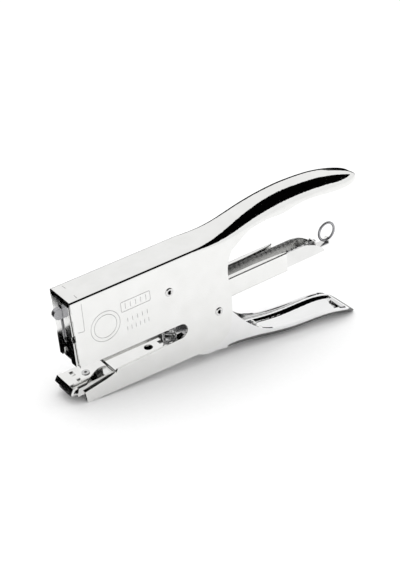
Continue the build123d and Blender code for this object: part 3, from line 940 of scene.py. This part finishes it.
# %% [markdown]
# ## The studio
# Chrome has no colour of its own: it shows the room. Photographers surround it with white
# and then set up a few dark cards, whose reflections draw the lines along every bend. We
# do the same: first a pale floor, then a white sky, one big soft lamp and the cards.

# %% Floor
REACH = 6.0
floor_mesh = bpy.data.meshes.new("floor")
floor_mesh.from_pydata(
    [(-REACH, -REACH, 0), (REACH, -REACH, 0), (REACH, REACH, 0), (-REACH, REACH, 0)],
    [],
    [(0, 1, 2, 3)],
)
floor = bpy.data.objects.new("floor", floor_mesh)
bpy.context.scene.collection.objects.link(floor)
paper, tree = blank_material("matte studio paper")
place = add(tree, "ShaderNodeTexCoord")
fibre = add(tree, "ShaderNodeTexNoise", {"Vector": place.outputs["Object"]}, Scale=400.0)
tone = add(tree, "ShaderNodeMix", {"Factor": fibre.outputs["Fac"]}, data_type="RGBA")
tone.inputs["A"].default_value = colour("#F6F6F6")
tone.inputs["B"].default_value = colour("#FBFBFB")
matte = add(
    tree, "ShaderNodeBsdfPrincipled", {"Base Color": tone.outputs["Result"]}, Roughness=0.9
)
add(tree, "ShaderNodeOutputMaterial", {"Surface": matte.outputs[0]})
floor_mesh.materials.append(paper)
print("floor", 2 * REACH, "m wide")

# %% [markdown]
# ## Sky and lamp
# The sky is plain white. One square lamp above gives the soft shadow under the tool; its own
# mirror image would show as a hard white patch, so it is hidden from reflections.

# %% Sky and lamp
world = bpy.data.worlds.new("white room")
bpy.context.scene.world = world
world.use_nodes = True
sky = world.node_tree.nodes["Background"]
sky.inputs["Color"].default_value = (1.0, 1.0, 1.0, 1.0)
sky.inputs["Strength"].default_value = 1.0
LAMP_PLACE = (0.1, 0.3, 1.4)
lamp_data = bpy.data.lights.new("overhead softbox", "AREA")
lamp_data.size = 1.2
lamp_data.energy = 6.0
lamp = bpy.data.objects.new("overhead softbox", lamp_data)
bpy.context.scene.collection.objects.link(lamp)
lamp.location = LAMP_PLACE
lamp.rotation_euler = (-Vector(LAMP_PLACE)).to_track_quat("-Z", "Y").to_euler()
lamp.visible_glossy = False
print("lamp:", lamp_data.energy, "W over", lamp_data.size, "m")

# %% [markdown]
# ## Cards that only mirrors see
# The cards are the lamp's opposite: only reflections see them. Chrome that mirrors a card
# goes dark there, so a card's place is found by following the line of sight off the bend.

# %% Dark cards


def felt_card(name, dark, light):
    """Card faced with felt, whose nap wavers between two close tones."""
    material, tree = blank_material(name)
    place = add(tree, "ShaderNodeTexCoord")
    nap = add(tree, "ShaderNodeTexNoise", {"Vector": place.outputs["Object"]}, Scale=200.0)
    tone = add(tree, "ShaderNodeMix", {"Factor": nap.outputs["Fac"]}, data_type="RGBA")
    tone.inputs["A"].default_value = colour(dark)
    tone.inputs["B"].default_value = colour(light)
    felt = add(tree, "ShaderNodeBsdfDiffuse", {"Color": tone.outputs["Result"]}, Roughness=1.0)
    add(tree, "ShaderNodeOutputMaterial", {"Surface": felt.outputs[0]})
    return material


def reflected_card(name, material, corners):
    """A card that shows only in reflections."""
    mesh = bpy.data.meshes.new(name)
    mesh.from_pydata(corners, [], [(0, 1, 2, 3)])
    mesh.materials.append(material)
    card = bpy.data.objects.new(name, mesh)
    bpy.context.scene.collection.objects.link(card)
    card.visible_camera = False
    card.visible_diffuse = False
    card.visible_shadow = False
    card.visible_transmission = False
    return card


def level_card(name, material, left, right_end, near, far, height):
    """A reflected card that lies level between two lengths and two depths."""
    return reflected_card(
        name,
        material,
        [
            (left, near, height),
            (right_end, near, height),
            (right_end, far, height),
            (left, far, height),
        ],
    )


card_black = felt_card("black card", "#020202", "#060606")
# The grey card is painted shadow: seen only in reflections, it stands for the shaded floor under the
# handle.
floor_shadow_card = felt_card("grey card for painted floor shadow", "#808080", "#8C8C8C")
low_corner, high_corner = cad_box
ROOF = 1.5
FAR = 1.6
FAR_TOP = 0.65
LAID = 0.001
TUCKED = 0.0005
# The dark band along the near shoulder and the handle.
level_card("card above the camera", card_black, -2.5, 4.0, -2.8, 0.15, ROOF)
# The thin line along the far edge needs the far wall and the far end of the table.
reflected_card(
    "card on the far side",
    card_black,
    [(-2.5, FAR, 0.0), (3.5, FAR, 0.0), (3.5, FAR, FAR_TOP), (-2.5, FAR, FAR_TOP)],
)
level_card("far end of the table", card_black, -2.5, 3.5, 0.5, FAR, LAID)
# The lip of the anvil, the front plate and the belly of the lower handle. The black card under the
# nose and the grey card under the handle are painted shadow: they stand for the shaded floor under
# the tool, and only reflections see them.
level_card("card beyond the nose", card_black, -1.5, -0.12, 0.05, 0.5, LAID)
nose = low_corner[0]
# Painted shadow: a black sheet where the floor under the nose lies in the tool's shade.
level_card("painted floor shadow under the nose", card_black, nose - 0.02, nose + 0.03, -0.008, 0.052, TUCKED)
tail = high_corner[0] + 0.01
level_card("painted floor shadow under the handle", floor_shadow_card, 0.0, tail, -0.014, 0.03, TUCKED)
print("studio ready")
